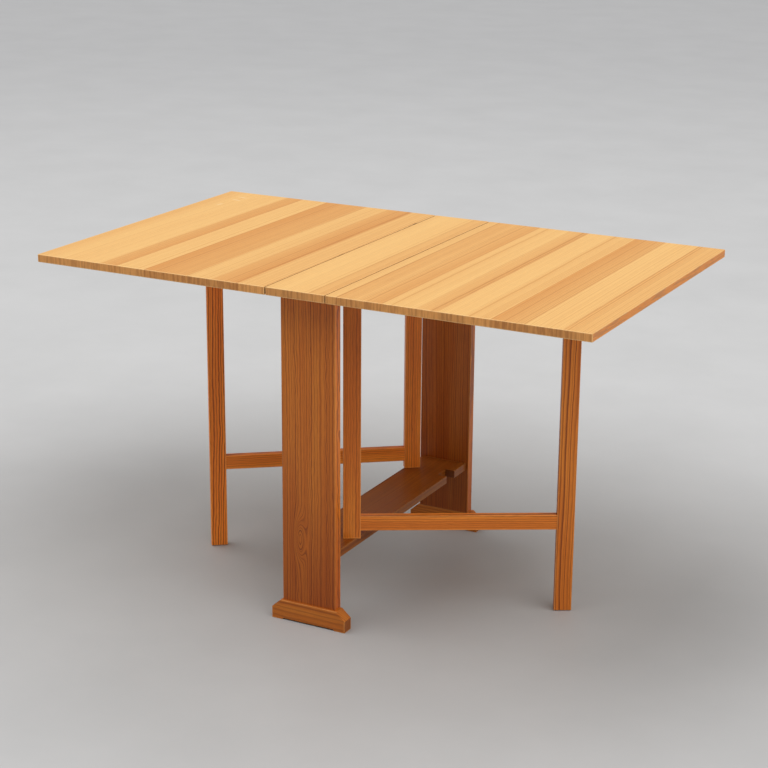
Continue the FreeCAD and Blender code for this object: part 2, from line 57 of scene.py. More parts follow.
def vectorCalc(tree, operation, *values):
    # one sum on vectors
    node = makeNode(tree, "ShaderNodeVectorMath", {"operation": operation},
                    dict(enumerate(values)))
    return node.outputs["Value" if operation in ("DOT_PRODUCT", "LENGTH") else "Vector"]


def ease(tree, value, low, high):
    # 0 below low, 1 above high, a smooth step between
    node = makeNode(tree, "ShaderNodeMapRange", {"interpolation_type": "SMOOTHSTEP"},
                    {"Value": value, "From Min": low, "From Max": high})
    return node.outputs["Result"]


def noise(tree, point, scale, detail=3.0, roughness=0.6):
    # cloudy noise from 0 to 1, mostly near 0.5
    node = makeNode(tree, "ShaderNodeTexNoise", {},
                    {"Vector": point, "Scale": scale, "Detail": detail, "Roughness": roughness})
    return node.outputs["Fac"]


def mixColour(tree, blend, factor, first, second):
    # the Mix node's colour sockets are its inputs 6 and 7 and its output 2
    node = makeNode(tree, "ShaderNodeMix", {"data_type": "RGBA", "blend_type": blend},
                    {0: factor, 6: first, 7: second})
    return node.outputs[2]


def share(tree, amount, strength):
    # a mask made weaker
    return calc(tree, "MULTIPLY", amount, strength)


def stretch(tree, point, across, along):
    # squeezes a point's coordinates, so a pattern on them is drawn out
    return vectorCalc(tree, "MULTIPLY", point, (across, across, along))


def grey(tree, value):
    # one value three times over, as a vector or an even grey
    return join(tree, value, value, value)


def split(tree, vector):
    return makeNode(tree, "ShaderNodeSeparateXYZ", {}, {"Vector": vector}).outputs


def join(tree, x, y, z):
    return makeNode(tree, "ShaderNodeCombineXYZ", {}, {"X": x, "Y": y, "Z": z}).outputs["Vector"]


def newGroup(name, inputs, outputs):
    # an empty node group with named sockets; a leading + marks a vector
    tree = bpy.data.node_groups.new(name, "ShaderNodeTree")
    for direction, names in (("INPUT", inputs), ("OUTPUT", outputs)):
        for label in names:
            kind = "NodeSocketVector" if label[0] == "+" else "NodeSocketFloat"
            tree.interface.new_socket(name=label.lstrip("+"), in_out=direction, socket_type=kind)
    given, result = tree.nodes.new("NodeGroupInput"), tree.nodes.new("NodeGroupOutput")
    return tree, given.outputs, result.inputs


def useGroup(tree, group, inputs):
    # a node group with its inputs fed
    return makeNode(tree, "ShaderNodeGroup", {"node_tree": group}, inputs).outputs


# effects that several woods share

growth = {
    "bendScale": 9.0, "bendAlong": 0.16,        # slow wander of the rings, drawn out along them
    "rippleScale": 75.0, "rippleAlong": 0.4,    # short ripple of each ring
    "paceRate": 0.21, "paceSwing": 3.4,         # how the rings' widths vary from year to year
    "lateStart": 0.42, "lateFull": 0.86,        # where in a ring the dark late wood sets in
    "lateEnd": 0.92,                            # where it stops
    "faintestYear": 0.4,                        # the palest ring's share of the darkest
    "fibreScale": 1100.0, "fibreAlong": 0.035,
    "mottleScale": 34.0, "mottleAlong": 0.07,
}


def makeGrowthRings():
    # Rings about a pith that runs along local Z. The distance to the pith, bent by a slow noise
    # and a short ripple, is counted in ring widths; each count's fraction climbs slowly to dark
    # late wood and drops.
    tree, given, result = newGroup("growthRings",
                                   ["+Point", "Pith X", "Pith Y", "Ring Width", "Wander", "Ripple"],
                                   ["Ring", "Fibre", "Mottle"])
    bend = makeNode(tree, "ShaderNodeTexNoise", {},
                    {"Vector": stretch(tree, given["Point"], 1.0, growth["bendAlong"]),
                     "Scale": growth["bendScale"], "Detail": 4.0, "Roughness": 0.45})
    swing = vectorCalc(tree, "SUBTRACT", bend.outputs["Color"], (0.5, 0.5, 0.5))
    reach = join(tree, given["Wander"], given["Wander"], 0.0)
    moved = vectorCalc(tree, "MULTIPLY_ADD", swing, reach, given["Point"])
    short = stretch(tree, given["Point"], 1.0, growth["rippleAlong"])
    ripple = noise(tree, short, growth["rippleScale"], detail=2.0, roughness=0.5)
    wave = calc(tree, "SUBTRACT", ripple, 0.5)
    sway = calc(tree, "MULTIPLY", wave, given["Ripple"])
    moved = vectorCalc(tree, "ADD", moved, join(tree, sway, sway, 0.0))
    pith = join(tree, given["Pith X"], given["Pith Y"], 0.0)
    across = stretch(tree, vectorCalc(tree, "SUBTRACT", moved, pith), 1.0, 0.0)
    plain = calc(tree, "DIVIDE", vectorCalc(tree, "LENGTH", across), given["Ring Width"])

    # the count runs fast or slow with its own noise, so rings are wide or narrow
    pace = makeNode(tree, "ShaderNodeTexNoise", {"noise_dimensions": "1D"},
                    {"W": calc(tree, "MULTIPLY", plain, growth["paceRate"]), "Scale": 1.0,
                     "Detail": 2.0})
    count = calc(tree, "MULTIPLY_ADD", pace.outputs["Fac"], growth["paceSwing"], plain)
    part = calc(tree, "FRACT", count)
    late = calc(tree, "MULTIPLY", ease(tree, part, growth["lateStart"], growth["lateFull"]),
                calc(tree, "SUBTRACT", 1.0, ease(tree, part, growth["lateEnd"], 1.0)))
    year = makeNode(tree, "ShaderNodeTexWhiteNoise", {"noise_dimensions": "1D"},
                    {"W": calc(tree, "FLOOR", count)})
    weight = calc(tree, "MULTIPLY_ADD", year.outputs["Value"], 1.0 - growth["faintestYear"],
                  growth["faintestYear"])
    feed(tree, result["Ring"], calc(tree, "MULTIPLY", late, weight))

    fine = stretch(tree, given["Point"], 1.0, growth["fibreAlong"])
    feed(tree, result["Fibre"], noise(tree, fine, growth["fibreScale"]))
    broad = stretch(tree, given["Point"], 1.0, growth["mottleAlong"])
    feed(tree, result["Mottle"], noise(tree, broad, growth["mottleScale"], roughness=0.55))
    return tree


def makeEye():
    # Bends straight grain round a spot: local X is pushed by a bell-shaped hump about the
    # centre, so steep humps close the rings into long loops on their far side.
    tree, given, result = newGroup("grainEye", ["+Point", "+Centre", "+Size", "Push"], ["+Point"])
    offset = vectorCalc(tree, "SUBTRACT", given["Point"], given["Centre"])
    away = vectorCalc(tree, "DIVIDE", offset, given["Size"])
    square = vectorCalc(tree, "DOT_PRODUCT", away, away)
    hump = calc(tree, "EXPONENT", calc(tree, "MULTIPLY", square, -1.0))
    shift = join(tree, calc(tree, "MULTIPLY", hump, given["Push"]), 0.0, 0.0)
    feed(tree, result["Point"], vectorCalc(tree, "ADD", given["Point"], shift))
    return tree


patchScale = 60.0       # how fine the patches of wear and painted highlight are


def makeEdgeWearAndHighlight():
    # How near a point is to an edge of its board: of the three gaps to the board's faces, an
    # edge has two that are nearly nothing, so the middle one of the three is what counts. A
    # patchy noise makes it uneven. The edges it marks are given both worn colour and a painted
    # highlight.
    tree, given, result = newGroup("edgeWearAndHighlight", ["+Point", "+Half", "Reach", "Unevenness"], ["Wear"])
    gaps = vectorCalc(tree, "SUBTRACT", given["Half"], vectorCalc(tree, "ABSOLUTE", given["Point"]))
    x, y, z = split(tree, gaps)
    least = calc(tree, "MINIMUM", x, y)
    most = calc(tree, "MAXIMUM", x, y)
    middle = calc(tree, "MAXIMUM", least, calc(tree, "MINIMUM", most, z))
    patchy = calc(tree, "SUBTRACT", noise(tree, given["Point"], patchScale), 0.5)
    nearness = calc(tree, "SUBTRACT", 1.0, calc(tree, "DIVIDE", middle, given["Reach"]))
    uneven = calc(tree, "MULTIPLY_ADD", patchy, given["Unevenness"], nearness)
    feed(tree, result["Wear"], ease(tree, uneven, 0.0, 1.0))
    return tree


growthRings = makeGrowthRings()
grainEye = makeEye()
edgeWearAndHighlight = makeEdgeWearAndHighlight()
print("shared effects ready")


# where a board lies, and which way its grain runs

# degrees about X and Y that turn local Z up, along X, or deep along Y
tilts = {"up": (0.0, 0.0), "along": (0.0, 90.0), "deep": (-90.0, 0.0)}
sideways = (1.0, 0.0, 0.0)


def boardSpace(name, grain, turn=0.0):
    # A board's own axes: local Z follows the grain, turned last about the world's Z, and the
    # origin is the board's middle. The half sizes are measured on its vertices, turned back
    # into those axes.
    angles = [math.radians(value) for value in (*tilts[grain], turn)]
    turned = Euler(angles).to_matrix()
    mesh = frame["nodes"][name].data
    flat = np.empty(len(mesh.vertices) * 3)
    mesh.vertices.foreach_get("co", flat)
    points = flat.reshape(-1, 3) @ np.array(turned)
    low, high = points.min(axis=0), points.max(axis=0)
    middle = turned @ Vector((low + high) / 2)
    return {"angles": angles, "middle": middle, "half": Vector((high - low) / 2),
            "grain": turned.col[2]}


def dress(name, material):
    # the same material on every slot of a piece
    for slot in frame["nodes"][name].material_slots:
        slot.material = material


def startMaterial(name):
    # a material that holds one surface and nothing else yet
    material = bpy.data.materials.new(name)
    material.use_nodes = True
    tree = material.node_tree
    tree.nodes.clear()
    surface = tree.nodes.new("ShaderNodeBsdfPrincipled")
    output = tree.nodes.new("ShaderNodeOutputMaterial")
    tree.links.new(surface.outputs["BSDF"], output.inputs["Surface"])
    return material, tree, surface


def placed(tree, middle, angles, size=(1.0, 1.0, 1.0)):
    # object coordinates seen from a place, turned and measured in its own sizes
    where = tree.nodes.new("ShaderNodeTexCoord").outputs["Object"]
    mapping = makeNode(tree, "ShaderNodeMapping", {"vector_type": "TEXTURE"},
                       {"Vector": where, "Location": middle, "Rotation": angles, "Scale": size})
    return mapping.outputs["Vector"]


facingCosine = (0.6, 0.9)       # where a face begins to count as facing, and where it counts fully


def facing(tree, direction):
    # 1 on faces that look along a direction or against it, fading out as they turn away
    normal = tree.nodes.new("ShaderNodeTexCoord").outputs["Normal"]
    along = vectorCalc(tree, "DOT_PRODUCT", normal, direction)
    return ease(tree, calc(tree, "ABSOLUTE", along), *facingCosine)


def bumpFrom(tree, surface, height, strength, depth):
    # slight relief: the height, from 0 to 1, times the depth
    bump = makeNode(tree, "ShaderNodeBump", {},
                    {"Strength": strength, "Distance": depth, "Height": height})
    feed(tree, surface.inputs["Normal"], bump.outputs["Normal"])


dullness = {"fibreLess": 0.08, "endMore": 0.2}      # roughness taken off, and added on end grain


def woodGloss(tree, surface, look, fibre, endGrain):
    # roughness wavers with the fibres, and end grain is duller
    surface.inputs["Specular IOR Level"].default_value = look["shine"]
    gloss = calc(tree, "MULTIPLY_ADD", fibre, look["glossSwing"],
                 look["roughness"] - dullness["fibreLess"])
    dull = calc(tree, "MULTIPLY_ADD", endGrain, dullness["endMore"], gloss)
    feed(tree, surface.inputs["Roughness"], dull)


# the aged red-brown pine of the trestle and gates

redPine = {
    "early": (0.64, 0.168, 0.016, 1),       # soft spring wood
    "late": (0.17, 0.030, 0.004, 1),        # hard dark line of each ring
    "warm": (0.76, 0.235, 0.026, 1),        # paler, yellower streaks
    "warmFrom": 0.38, "warmFull": 0.68,     # how much mottle turns the wood to that
    "end": (0.27, 0.065, 0.012, 1),         # end grain drinks more oil
    "endStrength": 0.7,
    "rubbedAndHighlight": (0.84, 0.34, 0.08, 1),        # worn edges, with a painted highlight on them
    "wearAndHighlightReach": 3.0 * millimetre,
    "wearAndHighlightStrength": 0.6,
    "wearAndHighlightUnevenness": 0.9,
    "fleckFloor": 0.65, "fleckSwing": 0.7,  # the fibres' darkest shade, and how far it climbs
    "paintedLowShade": (0.66, 0.52, 0.42, 1),         # painted shade: what is left of the colour low down
    "paintedSideLight": (1.50, 1.45, 1.0, 1),     # painted light: how much brighter the panels' narrow sides are made
    "roughness": 0.36,
    "glossSwing": 0.22,
    "shine": 0.3,
    "ringRelief": 0.6, "fibreRelief": 0.4,
    "bumpStrength": 0.35,
    "bumpDepth": 0.25 * millimetre,
}
seedStep = 3.7      # how far along the grain one seed lies from the next


def redPineMaterial(name, space, cut):
    # Spring wood warmed by the mottle, darkened by the rings, with end grain, worn edges with a
    # painted highlight, and fibre flecks over it. A cut has the rings' width, pith, wander, ripple
    # and contrast, a seed, a tone, any eyes, and the heights between which a painted shade fades
    # out, in the board's own axes; boards with those heights also get painted light on their narrow
    # sides.
    material, tree, surface = startMaterial(name)
    point = placed(tree, space["middle"], space["angles"])
    endGrain = facing(tree, space["grain"])
    bent = point
    for eye in cut.get("eyes", []):
        bent = useGroup(tree, grainEye, {"Point": bent, "Centre": eye["centre"],
                                         "Size": eye["size"], "Push": eye["push"]})["Point"]
    shifted = vectorCalc(tree, "ADD", bent, (0.0, 0.0, cut["seed"] * seedStep))
    grain = useGroup(tree, growthRings, {"Point": shifted, "Pith X": cut["pith"][0],
                                         "Pith Y": cut["pith"][1], "Ring Width": cut["ring"],
                                         "Wander": cut["wander"], "Ripple": cut["ripple"]})
    wearAndHighlight = useGroup(tree, edgeWearAndHighlight, {"Point": point, "Half": space["half"],
                                     "Reach": redPine["wearAndHighlightReach"],
                                     "Unevenness": redPine["wearAndHighlightUnevenness"]})["Wear"]
    streak = ease(tree, grain["Mottle"], redPine["warmFrom"], redPine["warmFull"])
    colour = mixColour(tree, "MIX", streak, redPine["early"], redPine["warm"])
    for mask, strength, tint in ((grain["Ring"], cut["contrast"], redPine["late"]),
                                 (endGrain, redPine["endStrength"], redPine["end"]),
                                 (wearAndHighlight, redPine["wearAndHighlightStrength"], redPine["rubbedAndHighlight"])):
        colour = mixColour(tree, "MIX", share(tree, mask, strength), colour, tint)
    flecks = calc(tree, "MULTIPLY_ADD", grain["Fibre"], redPine["fleckSwing"] * cut["tone"],
                  redPine["fleckFloor"] * cut["tone"])
    colour = mixColour(tree, "MULTIPLY", 1.0, colour, grey(tree, flecks))
    # painted shade: the colour is darkened towards the bottom, fading out between the two heights
    if "lowShadeHeights" in cut:
        low, high = cut["lowShadeHeights"]
        lowShadeMask = calc(tree, "SUBTRACT", 1.0, ease(tree, split(tree, point)["Z"], low, high))
        colour = mixColour(tree, "MULTIPLY", lowShadeMask, colour, redPine["paintedLowShade"])
        # painted light: the narrow sides facing along X are brightened
        colour = mixColour(tree, "MULTIPLY", facing(tree, sideways), colour, redPine["paintedSideLight"])
    feed(tree, surface.inputs["Base Color"], colour)
    woodGloss(tree, surface, redPine, grain["Fibre"], endGrain)
    height = calc(tree, "MULTIPLY_ADD", grain["Ring"], redPine["ringRelief"],
                  share(tree, grain["Fibre"], redPine["fibreRelief"]))
    bumpFrom(tree, surface, height, redPine["bumpStrength"], redPine["bumpDepth"])
    return material


# The end panels: straight rings, one closed eye low on the front one, and painted shade that is
# darkest below the first height and gone above the second.

endPanels = {
    "end_panel_front": {
        "ring": 4.8 * millimetre, "pith": (0.20, 0.05), "wander": 0.030,
        "ripple": 4.0 * millimetre, "contrast": 0.80, "seed": 1, "tone": 0.80,
        "lowShadeHeights": (-0.36, 0.12),
        "eyes": [{"centre": (-0.022, -0.011, -0.189), "size": (0.0115, 0.03, 0.040),
                  "push": 0.036}]},
    # the back panel's lower tone is painted shade, for the shade under the top
    "end_panel_back": {
        "ring": 4.2 * millimetre, "pith": (-0.17, 0.05), "wander": 0.030,
        "ripple": 4.0 * millimetre, "contrast": 0.65, "seed": 2, "tone": 0.68,
        "lowShadeHeights": (-0.36, 0.02)},
}
for name, cut in endPanels.items():
    dress(name, redPineMaterial(name, boardSpace(name, "up"), cut))
print("end panels done")


# the feet, the shelf and the hidden rail under the centre board

crossPieces = {
    "foot_front": ("along", {
        "ring": 4.4 * millimetre, "pith": (0.05, -0.10), "wander": 0.012,
        "ripple": 4.0 * millimetre, "contrast": 0.60, "seed": 3, "tone": 0.70}),
    "foot_back": ("along", {
        "ring": 4.6 * millimetre, "pith": (0.06, -0.08), "wander": 0.012,
        "ripple": 4.0 * millimetre, "contrast": 0.60, "seed": 4, "tone": 0.72}),
    # the shelf's low tone is painted shade, for the shade under the top
    "shelf": ("deep", {
        "ring": 4.6 * millimetre, "pith": (-0.14, 0.06), "wander": 0.020,
        "ripple": 3.0 * millimetre, "contrast": 0.50, "seed": 5, "tone": 0.40}),
    "spine_rail": ("deep", {
        "ring": 4.2 * millimetre, "pith": (0.04, 0.09), "wander": 0.015,
        "ripple": 4.0 * millimetre, "contrast": 0.70, "seed": 6, "tone": 0.85}),
}
for name, (grain, cut) in crossPieces.items():
    dress(name, redPineMaterial(name, boardSpace(name, grain), cut))
print("feet, shelf and spine rail done")


# The gates, each turned as far as it stands open. Each side has its own tone, as painted light
# and shade: the left side is made brighter and the right leg darker to stand in for how light
# falls.

gateCuts = {
    "post": {
        "ring": 4.2 * millimetre, "pith": (0.07, 0.02), "wander": 0.014,
        "ripple": 3.5 * millimetre, "contrast": 0.60, "seed": 7,
        "tone": {"right": 1.03, "left": 1.19}},
    "leg": {
        "ring": 4.6 * millimetre, "pith": (-0.06, 0.04), "wander": 0.024,
        "ripple": 8.0 * millimetre, "contrast": 1.0, "seed": 8,
        "tone": {"right": 0.95, "left": 1.38}},
    "lower_rail": {
        "ring": 4.6 * millimetre, "pith": (0.09, 0.03), "wander": 0.012,
        "ripple": 3.0 * millimetre, "contrast": 0.70, "seed": 9,
        "tone": {"right": 1.11, "left": 1.29}},
    "upper_rail": {
        "ring": 4.4 * millimetre, "pith": (0.07, -0.04), "wander": 0.012,
        "ripple": 3.0 * millimetre, "contrast": 0.70, "seed": 10,
        "tone": {"right": 1.05, "left": 1.21}},
}
closedTurn = {"right": 90.0, "left": 270.0}     # degrees about Z from +X
firstSeed = {"right": 0, "left": 20}
joints = {joint["name"]: joint for joint in frame["record"]["behaviour"]["joints"]}


def gateTurn(side):
    # a gate's joint stops where it is closed, so its open angle is the closed one less that
    return closedTurn[side] - joints["gate_%s_swing" % side]["range_deg"][1]


for side in ("right", "left"):
    for piece, cut in gateCuts.items():
        name = "gate_%s_%s" % (piece, side)
        grain = "along" if "rail" in piece else "up"
        own = dict(cut, seed=cut["seed"] + firstSeed[side], tone=cut["tone"][side])
        dress(name, redPineMaterial(name, boardSpace(name, grain, gateTurn(side)), own))
print("gates done")


# The pale top, glued up from staves. Each stave is its width in millimetres, its tone at its
# left and right edge from 0 (pale sapwood) to 1 (brown heartwood), and where its pith lies. A
# streak is a thin dark line: its x, width and strength. Seams are the sides next to a neighbour,
# each with how strongly it is checked. A scuff is a pale rubbed stroke: its x and y, its length
# and width in millimetres, and its turn from +X.

topBoards = {
    "leaf_left": {
        "seams": [(1, 0.9)],
        "streaks": [(-0.417, 1.4, 0.6), (-0.349, 1.2, 0.5), (-0.131, 1.6, 0.6)],
        "staves": [(42, 0.30, 0.20, 0.1), (70, 0.05, 0.10, 0.7), (46, 0.15, 0.05, 0.3),
                   (42, 0.60, 0.85, 0.9), (66, 0.15, 0.05, 0.5), (42, 1.00, 0.85, 0.2),
                   (62, 0.80, 0.70, 0.8), (57, 0.12, 0.18, 0.4), (62, 0.60, 1.00, 0.6),
                   (59, 0.30, 0.40, 0.0)],
        "scuffs": [(-0.549, 0.291, 38, 9, -6), (-0.550, 0.322, 38, 9, -5),
                   (-0.558, 0.232, 30, 9, 77)]},
    "centre_board": {
        "seams": [(-1, 0.9), (1, 0.2)],
        "streaks": [(0.033, 1.0, 0.4)],
        "staves": [(50, 0.10, 0.00, 0.6), (47, 0.02, 0.12, 0.2), (35, 0.35, 0.45, 0.9)]},
    "leaf_right": {
        "seams": [(-1, 0.2)],
        "streaks": [(0.120, 1.2, 0.5), (0.304, 1.4, 0.7), (0.423, 1.2, 0.5), (0.560, 1.2, 0.5)],
        "staves": [(24, 0.20, 0.20, 0.3), (50, 0.60, 0.45, 0.8), (50, 0.50, 0.75, 0.1),
                   (70, 0.20, 0.02, 0.5), (46, 0.30, 0.65, 0.7), (54, 0.08, 0.05, 0.2),
                   (54, 0.18, 0.25, 0.9), (69, 0.95, 0.50, 0.4), (73, 0.05, 0.12, 0.0),
                   (24, 0.60, 0.40, 0.6), (34, 0.30, 0.45, 0.3)]},
}
palePine = {
    "pale": (0.92, 0.555, 0.20, 1),
    "brown": (0.76, 0.345, 0.092, 1),
    "lineOnPale": (0.70, 0.33, 0.085, 1),       # growth lines, on pale and on brown wood
    "lineOnBrown": (0.48, 0.17, 0.036, 1),
    "side": (0.79, 0.245, 0.018, 1),            # long edges
    "sideStrength": 0.9,
    "end": (0.72, 0.32, 0.085, 1),              # end grain and its dark bars
    "endDark": (0.34, 0.115, 0.024, 1),
    "endStrength": 0.9,
    "glue": (0.46, 0.22, 0.07, 1),
    "glueStrength": 0.5,
    "seamShade": (0.36, 0.15, 0.045, 1),         # painted shade on the walls of the gaps between the boards
    "check": (0.14, 0.05, 0.014, 1),            # dark splits along a seam
    # worn edges, with a painted highlight on them
    "rubbedAndHighlight": (0.95, 0.66, 0.30, 1),
    "scuffed": (0.98, 0.74, 0.42, 1),
    "scuffStrength": 0.7,
    "ring": 4.2 * millimetre,
    "wander": 0.012,
    "ripple": 2.5 * millimetre,
    "pithNear": 0.33, "pithSpread": 0.4,        # how far sideways the staves' piths lie
    "pithLow": -0.09, "pithRise": 0.08,         # how far below, and how much less at most
    "pithScatter": 7.3, "shadeScatter": 4.7,    # shuffle that depth and the ends' shades
    "grainShift": 9.0,                          # how far along the grain one stave starts
    "mottleSwing": 0.35,
    "lineFloor": 0.65, "lineSwing": 0.2,        # growth lines on pale wood, and how much stronger
                                                # on brown
    "raggedScale": 60.0, "raggedAlong": 0.12,   # breaks up streaks and dark splits
    "raggedFrom": 0.38, "raggedFull": 0.55,
    "splitFrom": 0.54, "splitFull": 0.64,
    "tearScale": 160.0, "tearSwing": 0.9,       # the torn edges of scuffs
    "scuffCore": 0.7, "scuffRim": 1.4,
    "barScale": 210.0, "barAlong": 0.08,        # the dark bars of end grain
    "barFrom": 0.42, "barFull": 0.62,
    "barStrength": 0.5, "shadeSwing": 0.4,
    "waveScale": 190.0, "waveAlong": 0.07,      # the wavy lines of the long edges
    "waveFrom": 0.46, "waveFull": 0.60,
    "waveStrength": 0.7,
    "glueWidth": 0.4 * millimetre,
    "seamShadeDepth": 0.25 * millimetre,
    "seamShadeFull": 0.5,                        # full from this nearness: 1 is on the seam itself
    "checkReach": 1.8 * millimetre,
    "checkFull": 0.6,                           # likewise
    "streakSway": 6.0 * millimetre,
    "wearAndHighlightReach": 2.2 * millimetre,
    "wearAndHighlightStrength": 0.5,
    "wearAndHighlightUnevenness": 0.8,
    "fleckFloor": 0.85, "fleckSwing": 0.3,
    "roughness": 0.42,
    "glossSwing": 0.2,
    "shine": 0.4,
    "ringRelief": 0.5, "fibreRelief": 0.5,
    "bumpStrength": 0.25,
    "bumpDepth": 0.15 * millimetre,
}


def nearLine(tree, x, place, width):
    # 1 on the line, falling straight to 0 at its width
    gap = calc(tree, "ABSOLUTE", calc(tree, "SUBTRACT", x, place))
    return calc(tree, "SUBTRACT", 1.0, calc(tree, "DIVIDE", gap, width))


def staveField(tree, x, staves, left):
    # Adds a step at each joint between staves, so one vector carries the tone's start and slope
    # and the pith. The glue mask is the nearest joint, counted in glue widths.
    edge = left
    carried, glue, before = None, 0.0, (0.0, 0.0, 0.0)
    for width, first, last, pith in staves:
        slope = (last - first) / (width * millimetre)
        now = (first - slope * edge, slope, pith)
        change = tuple(a - b for a, b in zip(now, before))
        if carried is None:
            carried = join(tree, *change)
        else:
            passed = calc(tree, "GREATER_THAN", x, edge)
            carried = vectorCalc(tree, "MULTIPLY_ADD", grey(tree, passed), change, carried)
            glue = calc(tree, "MAXIMUM", nearLine(tree, x, edge, palePine["glueWidth"]), glue)
        before = now
        edge += width * millimetre
    start, slope, pith = split(tree, carried)
    return calc(tree, "MULTIPLY_ADD", slope, x, start), pith, glue


def topMaterial(name, board):
    # Each stave's ground runs from pale to brown with its tone, crossed by growth lines; streaks,
    # scuffs, end grain, long edges, glue, wear with a painted highlight, and seams with painted
    # shade in their gaps are laid over it in turn.
    material, tree, surface = startMaterial(name)
    space = boardSpace(name, "deep")
    point = placed(tree, space["middle"], space["angles"])
    endGrain = facing(tree, space["grain"])
    x = split(tree, point)["X"]
    tone, pith, glue = staveField(tree, x, board["staves"], -space["half"].x)

    # each stave's pith lies off to one side and a little below, and its grain starts elsewhere
    heart = calc(tree, "MULTIPLY_ADD", pith, palePine["pithSpread"], palePine["pithNear"])
    scatter = calc(tree, "FRACT", calc(tree, "MULTIPLY", pith, palePine["pithScatter"]))
    depth = calc(tree, "MULTIPLY_ADD", scatter, palePine["pithRise"], palePine["pithLow"])
    start = join(tree, 0.0, 0.0, calc(tree, "MULTIPLY", pith, palePine["grainShift"]))
    grain = useGroup(tree, growthRings,
                     {"Point": vectorCalc(tree, "ADD", point, start), "Pith X": heart,
                      "Pith Y": depth, "Ring Width": palePine["ring"],
                      "Wander": palePine["wander"], "Ripple": palePine["ripple"]})
    wearAndHighlight = useGroup(tree, edgeWearAndHighlight, {"Point": point, "Half": space["half"],
                                     "Reach": palePine["wearAndHighlightReach"],
                                     "Unevenness": palePine["wearAndHighlightUnevenness"]})["Wear"]

    # ground colour and growth lines
    drift = calc(tree, "SUBTRACT", grain["Mottle"], 0.5)
    uneven = calc(tree, "MULTIPLY_ADD", drift, palePine["mottleSwing"], tone)
    tone = makeNode(tree, "ShaderNodeClamp", {}, {"Value": uneven}).outputs[0]
    ground = mixColour(tree, "MIX", tone, palePine["pale"], palePine["brown"])
    lines = mixColour(tree, "MIX", tone, palePine["lineOnPale"], palePine["lineOnBrown"])
    darker = calc(tree, "MULTIPLY_ADD", tone, palePine["lineSwing"], palePine["lineFloor"])
    strength = calc(tree, "MULTIPLY", grain["Ring"], darker)
    colour = mixColour(tree, "MIX", strength, ground, lines)

    # thin streaks, swaying and broken up along the board
    ragged = noise(tree, stretch(tree, point, 1.0, palePine["raggedAlong"]),
                   palePine["raggedScale"])
    broken = ease(tree, ragged, palePine["raggedFrom"], palePine["raggedFull"])
    sway = palePine["streakSway"]
    wobble = calc(tree, "MULTIPLY_ADD", ragged, sway, calc(tree, "SUBTRACT", x, sway / 2))
    for place, width, weight in board["streaks"]:
        streak = nearLine(tree, wobble, place - space["middle"].x, width * millimetre)
        patch = calc(tree, "MULTIPLY", ease(tree, streak, 0.0, 1.0), broken)
        colour = mixColour(tree, "MIX", share(tree, patch, weight), colour, palePine["lineOnBrown"])

    # scuffs: an oval for each, strongest in its middle and torn along its edge
    for placeX, placeY, length, width, turn in board.get("scuffs", []):
        oval = placed(tree, (placeX, placeY, 0.0), (0.0, 0.0, math.radians(turn)),
                      (length * millimetre / 2, width * millimetre / 2, 1.0))
        away = vectorCalc(tree, "LENGTH", stretch(tree, oval, 1.0, 0.0))
        tears = noise(tree, point, palePine["tearScale"])
        torn = calc(tree, "MULTIPLY_ADD", tears, palePine["tearSwing"], away)
        faded = ease(tree, torn, palePine["scuffCore"], palePine["scuffRim"])
        scuff = calc(tree, "SUBTRACT", 1.0, faded)
        colour = mixColour(tree, "MIX", share(tree, scuff, palePine["scuffStrength"]), colour,
                           palePine["scuffed"])

    # end grain: fine upright lines, and a shade for each stave
    upright = vectorCalc(tree, "MULTIPLY", point,
                         (1.0, palePine["barAlong"], palePine["barAlong"]))
    bars = ease(tree, noise(tree, upright, palePine["barScale"]), palePine["barFrom"],
                palePine["barFull"])
    shade = calc(tree, "FRACT", calc(tree, "MULTIPLY", pith, palePine["shadeScatter"]))
    dark = calc(tree, "MULTIPLY_ADD", shade, palePine["shadeSwing"],
                share(tree, bars, palePine["barStrength"]))
    ends = mixColour(tree, "MIX", dark, palePine["end"], palePine["endDark"])

    # the long edges took more oil than the face, and show long wavy lines
    waves = noise(tree, stretch(tree, point, 1.0, palePine["waveAlong"]),
                  palePine["waveScale"], detail=2.0, roughness=0.55)
    crests = ease(tree, waves, palePine["waveFrom"], palePine["waveFull"])
    wavy = mixColour(tree, "MIX", share(tree, crests, palePine["waveStrength"]),
                     palePine["side"], palePine["lineOnBrown"])

    # then glue lines, and rubbed edges with a painted highlight
    for mask, strength, tint in ((endGrain, palePine["endStrength"], ends),
                                 (facing(tree, sideways), palePine["sideStrength"], wavy),
                                 (ease(tree, glue, 0.0, 1.0), palePine["glueStrength"],
                                  palePine["glue"]),
                                 (wearAndHighlight, palePine["wearAndHighlightStrength"], palePine["rubbedAndHighlight"])):
        colour = mixColour(tree, "MIX", share(tree, mask, strength), colour, tint)
    flecks = calc(tree, "MULTIPLY_ADD", grain["Fibre"], palePine["fleckSwing"],
                  palePine["fleckFloor"])
    colour = mixColour(tree, "MULTIPLY", 1.0, colour, grey(tree, flecks))

    # painted shade on the walls of the seams, and the dark splits beside them
    splits = ease(tree, ragged, palePine["splitFrom"], palePine["splitFull"])
    for side, checked in board["seams"]:
        edge = side * space["half"].x
        seamShadeMask = ease(tree, nearLine(tree, x, edge, palePine["seamShadeDepth"]), 0.0,
                    palePine["seamShadeFull"])
        colour = mixColour(tree, "MIX", seamShadeMask, colour, palePine["seamShade"])
        beside = ease(tree, nearLine(tree, x, edge, palePine["checkReach"]), 0.0,
                      palePine["checkFull"])
        check = calc(tree, "MULTIPLY", beside, share(tree, splits, checked))
        colour = mixColour(tree, "MIX", check, colour, palePine["check"])
    feed(tree, surface.inputs["Base Color"], colour)
    woodGloss(tree, surface, palePine, grain["Fibre"], endGrain)
    height = calc(tree, "MULTIPLY_ADD", grain["Ring"], palePine["ringRelief"],
                  share(tree, grain["Fibre"], palePine["fibreRelief"]))
    bumpFrom(tree, surface, height, palePine["bumpStrength"], palePine["bumpDepth"])
    return material


for name, board in topBoards.items():
    dress(name, topMaterial(name, board))
print("top done")


# dowels, screws and hinges

